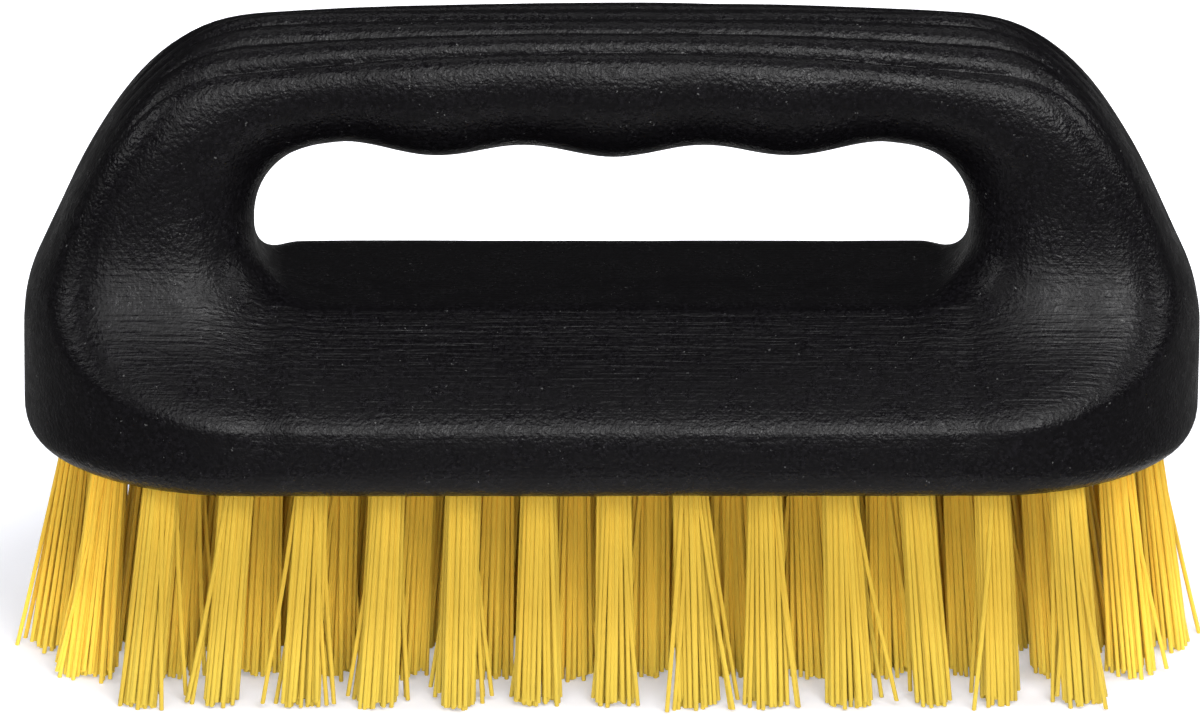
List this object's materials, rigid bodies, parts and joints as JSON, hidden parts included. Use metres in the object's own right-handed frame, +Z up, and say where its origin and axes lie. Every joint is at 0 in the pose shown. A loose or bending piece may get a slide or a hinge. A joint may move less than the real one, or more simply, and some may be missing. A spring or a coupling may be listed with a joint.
{
  "type": "wash brush",
  "caption": "Block wash brush: one moulded block with a closed finger grip over it, and staple-set bristle tufts below that fan out towards the ends.",
  "frame": {"origin": "middle of the part's box on the plane that the bristle tips stand on", "axes": "+X along the block, +Y across it, from the front row of tufts to the back row, +Z up from the bristle tips to the grip"},
  "size_m": [0.152, 0.06, 0.0866],
  "materials": {
    "black_foamed_plastic": "semi-matt, faintly grained black plastic",
    "yellow_bristle": "satin yellow filament"
  },
  "bodies": {
    "root": {"brush_body": "black_foamed_plastic", "tuft_back_01_02": "yellow_bristle", "tuft_back_03": "yellow_bristle", "tuft_back_04": "yellow_bristle", "tuft_back_05": "yellow_bristle", "tuft_back_06": "yellow_bristle", "tuft_back_07": "yellow_bristle", "tuft_back_08": "yellow_bristle", "tuft_back_09": "yellow_bristle", "tuft_back_10": "yellow_bristle", "tuft_back_11": "yellow_bristle", "tuft_back_12_13": "yellow_bristle", "tuft_back_inner_01_02": "yellow_bristle", "tuft_back_inner_03": "yellow_bristle", "tuft_back_inner_04": "yellow_bristle", "tuft_back_inner_05": "yellow_bristle", "tuft_back_inner_06": "yellow_bristle", "tuft_back_inner_07": "yellow_bristle", "tuft_back_inner_08": "yellow_bristle", "tuft_back_inner_09": "yellow_bristle", "tuft_back_inner_10": "yellow_bristle", "tuft_back_inner_11": "yellow_bristle", "tuft_back_inner_12": "yellow_bristle", "tuft_back_inner_13_14": "yellow_bristle", "tuft_front_01_02": "yellow_bristle", "tuft_front_03": "yellow_bristle", "tuft_front_04": "yellow_bristle", "tuft_front_05": "yellow_bristle", "tuft_front_06": "yellow_bristle", "tuft_front_07": "yellow_bristle", "tuft_front_08": "yellow_bristle", "tuft_front_09": "yellow_bristle", "tuft_front_10": "yellow_bristle", "tuft_front_11": "yellow_bristle", "tuft_front_12_13": "yellow_bristle", "tuft_front_inner_01_02": "yellow_bristle", "tuft_front_inner_03": "yellow_bristle", "tuft_front_inner_04": "yellow_bristle", "tuft_front_inner_05": "yellow_bristle", "tuft_front_inner_06": "yellow_bristle", "tuft_front_inner_07": "yellow_bristle", "tuft_front_inner_08": "yellow_bristle", "tuft_front_inner_09": "yellow_bristle", "tuft_front_inner_10": "yellow_bristle", "tuft_front_inner_11": "yellow_bristle", "tuft_front_inner_12": "yellow_bristle", "tuft_front_inner_13_14": "yellow_bristle", "tuft_middle_01_02": "yellow_bristle", "tuft_middle_03": "yellow_bristle", "tuft_middle_04": "yellow_bristle", "tuft_middle_05": "yellow_bristle", "tuft_middle_06": "yellow_bristle", "tuft_middle_07": "yellow_bristle", "tuft_middle_08": "yellow_bristle", "tuft_middle_09": "yellow_bristle", "tuft_middle_10": "yellow_bristle", "tuft_middle_11": "yellow_bristle", "tuft_middle_12": "yellow_bristle", "tuft_middle_13": "yellow_bristle", "tuft_middle_14_15": "yellow_bristle"}
  },
  "joints": []
}
